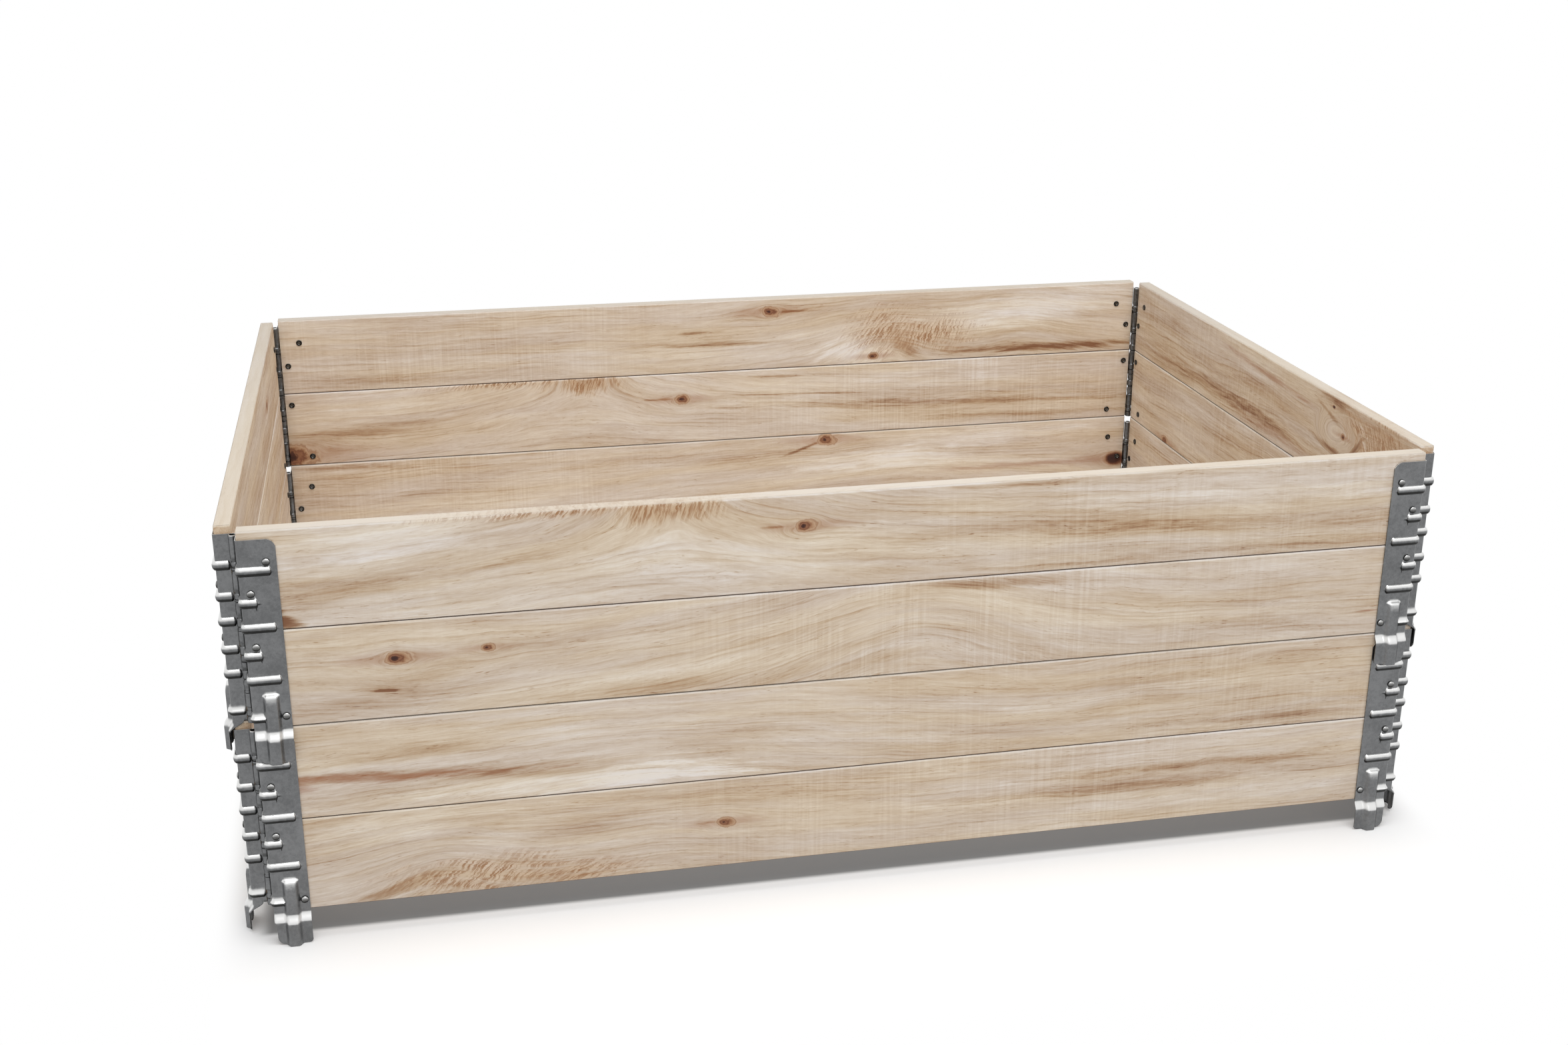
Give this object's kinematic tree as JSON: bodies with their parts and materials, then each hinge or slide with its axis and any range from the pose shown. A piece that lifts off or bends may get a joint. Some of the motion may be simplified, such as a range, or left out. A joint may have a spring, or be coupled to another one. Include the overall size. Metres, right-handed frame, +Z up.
{
  "type": "wooden pallet collar",
  "caption": "Stackable wooden pallet collars: hinged board walls with pressed steel corner leaves, tongues that locate each collar on the one below, folding flat.",
  "frame": {"origin": "centre of the footprint, on the floor at the tips of the lower collar's tongues", "axes": "+X along the long walls, +Y from the front wall to the back wall, +Z up"},
  "size_m": [1.222, 0.822, 0.4232],
  "materials": {
    "board_wood": "planed, unpainted pale hardwood",
    "hinge_steel": "matt galvanised sheet",
    "pin_steel": "bright drawn wire"
  },
  "bodies": {
    "lower_front_wall": {"lower_front_bottom_board": "board_wood", "lower_front_top_board": "board_wood", "lower_front_wall_left_leaf": "hinge_steel", "lower_front_left_pin": "pin_steel", "lower_front_wall_right_leaf": "hinge_steel", "lower_front_right_pin": "pin_steel"},
    "lower_left_wall": {"lower_left_bottom_board": "board_wood", "lower_left_top_board": "board_wood", "lower_left_wall_front_leaf": "hinge_steel", "lower_left_wall_back_leaf": "hinge_steel"},
    "lower_right_wall": {"lower_right_bottom_board": "board_wood", "lower_right_top_board": "board_wood", "lower_right_wall_front_leaf": "hinge_steel", "lower_right_wall_back_leaf": "hinge_steel"},
    "lower_back_wall": {"lower_back_bottom_board": "board_wood", "lower_back_top_board": "board_wood", "lower_back_wall_left_leaf": "hinge_steel", "lower_back_left_pin": "pin_steel", "lower_back_wall_right_leaf": "hinge_steel", "lower_back_right_pin": "pin_steel"},
    "upper_front_wall": {"upper_front_bottom_board": "board_wood", "upper_front_top_board": "board_wood", "upper_front_wall_left_leaf": "hinge_steel", "upper_front_left_pin": "pin_steel", "upper_front_wall_right_leaf": "hinge_steel", "upper_front_right_pin": "pin_steel"},
    "upper_left_wall": {"upper_left_bottom_board": "board_wood", "upper_left_top_board": "board_wood", "upper_left_wall_front_leaf": "hinge_steel", "upper_left_wall_back_leaf": "hinge_steel"},
    "upper_right_wall": {"upper_right_bottom_board": "board_wood", "upper_right_top_board": "board_wood", "upper_right_wall_front_leaf": "hinge_steel", "upper_right_wall_back_leaf": "hinge_steel"},
    "upper_back_wall": {"upper_back_bottom_board": "board_wood", "upper_back_top_board": "board_wood", "upper_back_wall_left_leaf": "hinge_steel", "upper_back_left_pin": "pin_steel", "upper_back_wall_right_leaf": "hinge_steel", "upper_back_right_pin": "pin_steel"}
  },
  "joints": [
    {"name": "fold", "type": "hinge", "parent": "lower_front_wall", "child": "lower_left_wall", "pos_m": [-0.5834, -0.3834, 0.0335], "axis": [0, 0, 1], "range_deg": [-88, 88]},
    {"name": "lower_right_fold", "type": "hinge", "parent": "lower_front_wall", "child": "lower_right_wall", "pos_m": [0.5834, -0.3834, 0.0335], "axis": [0, 0, 1], "range_deg": [-88, 88]},
    {"name": "lower_back_fold", "type": "hinge", "parent": "lower_left_wall", "child": "lower_back_wall", "pos_m": [-0.5834, 0.3834, 0.0335], "axis": [0, 0, 1], "range_deg": [-88, 88]},
    {"name": "upper_left_fold", "type": "hinge", "parent": "upper_front_wall", "child": "upper_left_wall", "pos_m": [-0.5834, -0.3834, 0.2285], "axis": [0, 0, 1], "range_deg": [-88, 88]},
    {"name": "upper_right_fold", "type": "hinge", "parent": "upper_front_wall", "child": "upper_right_wall", "pos_m": [0.5834, -0.3834, 0.2285], "axis": [0, 0, 1], "range_deg": [-88, 88]},
    {"name": "upper_back_fold", "type": "hinge", "parent": "upper_left_wall", "child": "upper_back_wall", "pos_m": [-0.5834, 0.3834, 0.2285], "axis": [0, 0, 1], "range_deg": [-88, 88]},
    {"name": "lift", "type": "slide", "parent": "lower_front_wall", "child": "upper_front_wall", "axis": [0, 0, 1], "range_m": [0, 0.25]}
  ],
  "couplings": [
    {"joint": "lower_right_fold", "follows": "fold", "ratio": 1},
    {"joint": "lower_back_fold", "follows": "fold", "ratio": -1},
    {"joint": "upper_left_fold", "follows": "fold", "ratio": 1},
    {"joint": "upper_right_fold", "follows": "fold", "ratio": 1},
    {"joint": "upper_back_fold", "follows": "fold", "ratio": -1}
  ]
}
